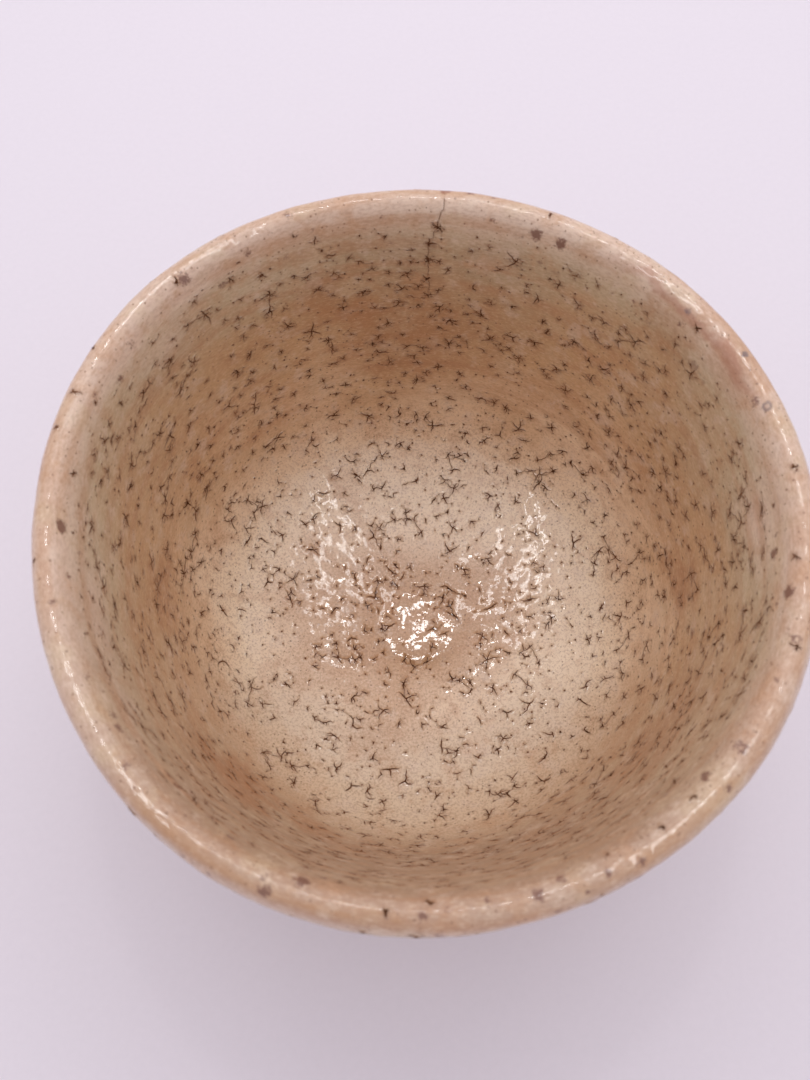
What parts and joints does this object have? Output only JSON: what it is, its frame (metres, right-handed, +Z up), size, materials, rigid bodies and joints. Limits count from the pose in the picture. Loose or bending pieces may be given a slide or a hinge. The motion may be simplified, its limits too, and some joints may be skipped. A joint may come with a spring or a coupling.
{
  "type": "matcha bowl",
  "caption": "Hand-thrown stoneware tea bowl with near-upright wall, rounded lip, shallow tea pool in the floor and a turned foot ring, glazed inside and out.",
  "frame": {"origin": "centre of the foot ring's resting plane, on the throwing axis", "axes": "+Z up along the throwing axis, out of the bowl's mouth; +X and +Y across the mouth"},
  "size_m": [0.1198, 0.1203, 0.08],
  "materials": {
    "bare_clay": "bare fired stoneware, gritty",
    "foot_clay": "bare fired stoneware, turned and worn smooth where it rests",
    "inner_glaze": "glossy translucent cream over tan, with dark star-shaped crawls",
    "outer_glaze": "glossy pale cream, specked with iron"
  },
  "bodies": {
    "root": {"clay_body": "bare_clay", "foot_ring": "foot_clay", "inner_glaze": "inner_glaze", "outer_glaze": "outer_glaze"}
  },
  "joints": []
}
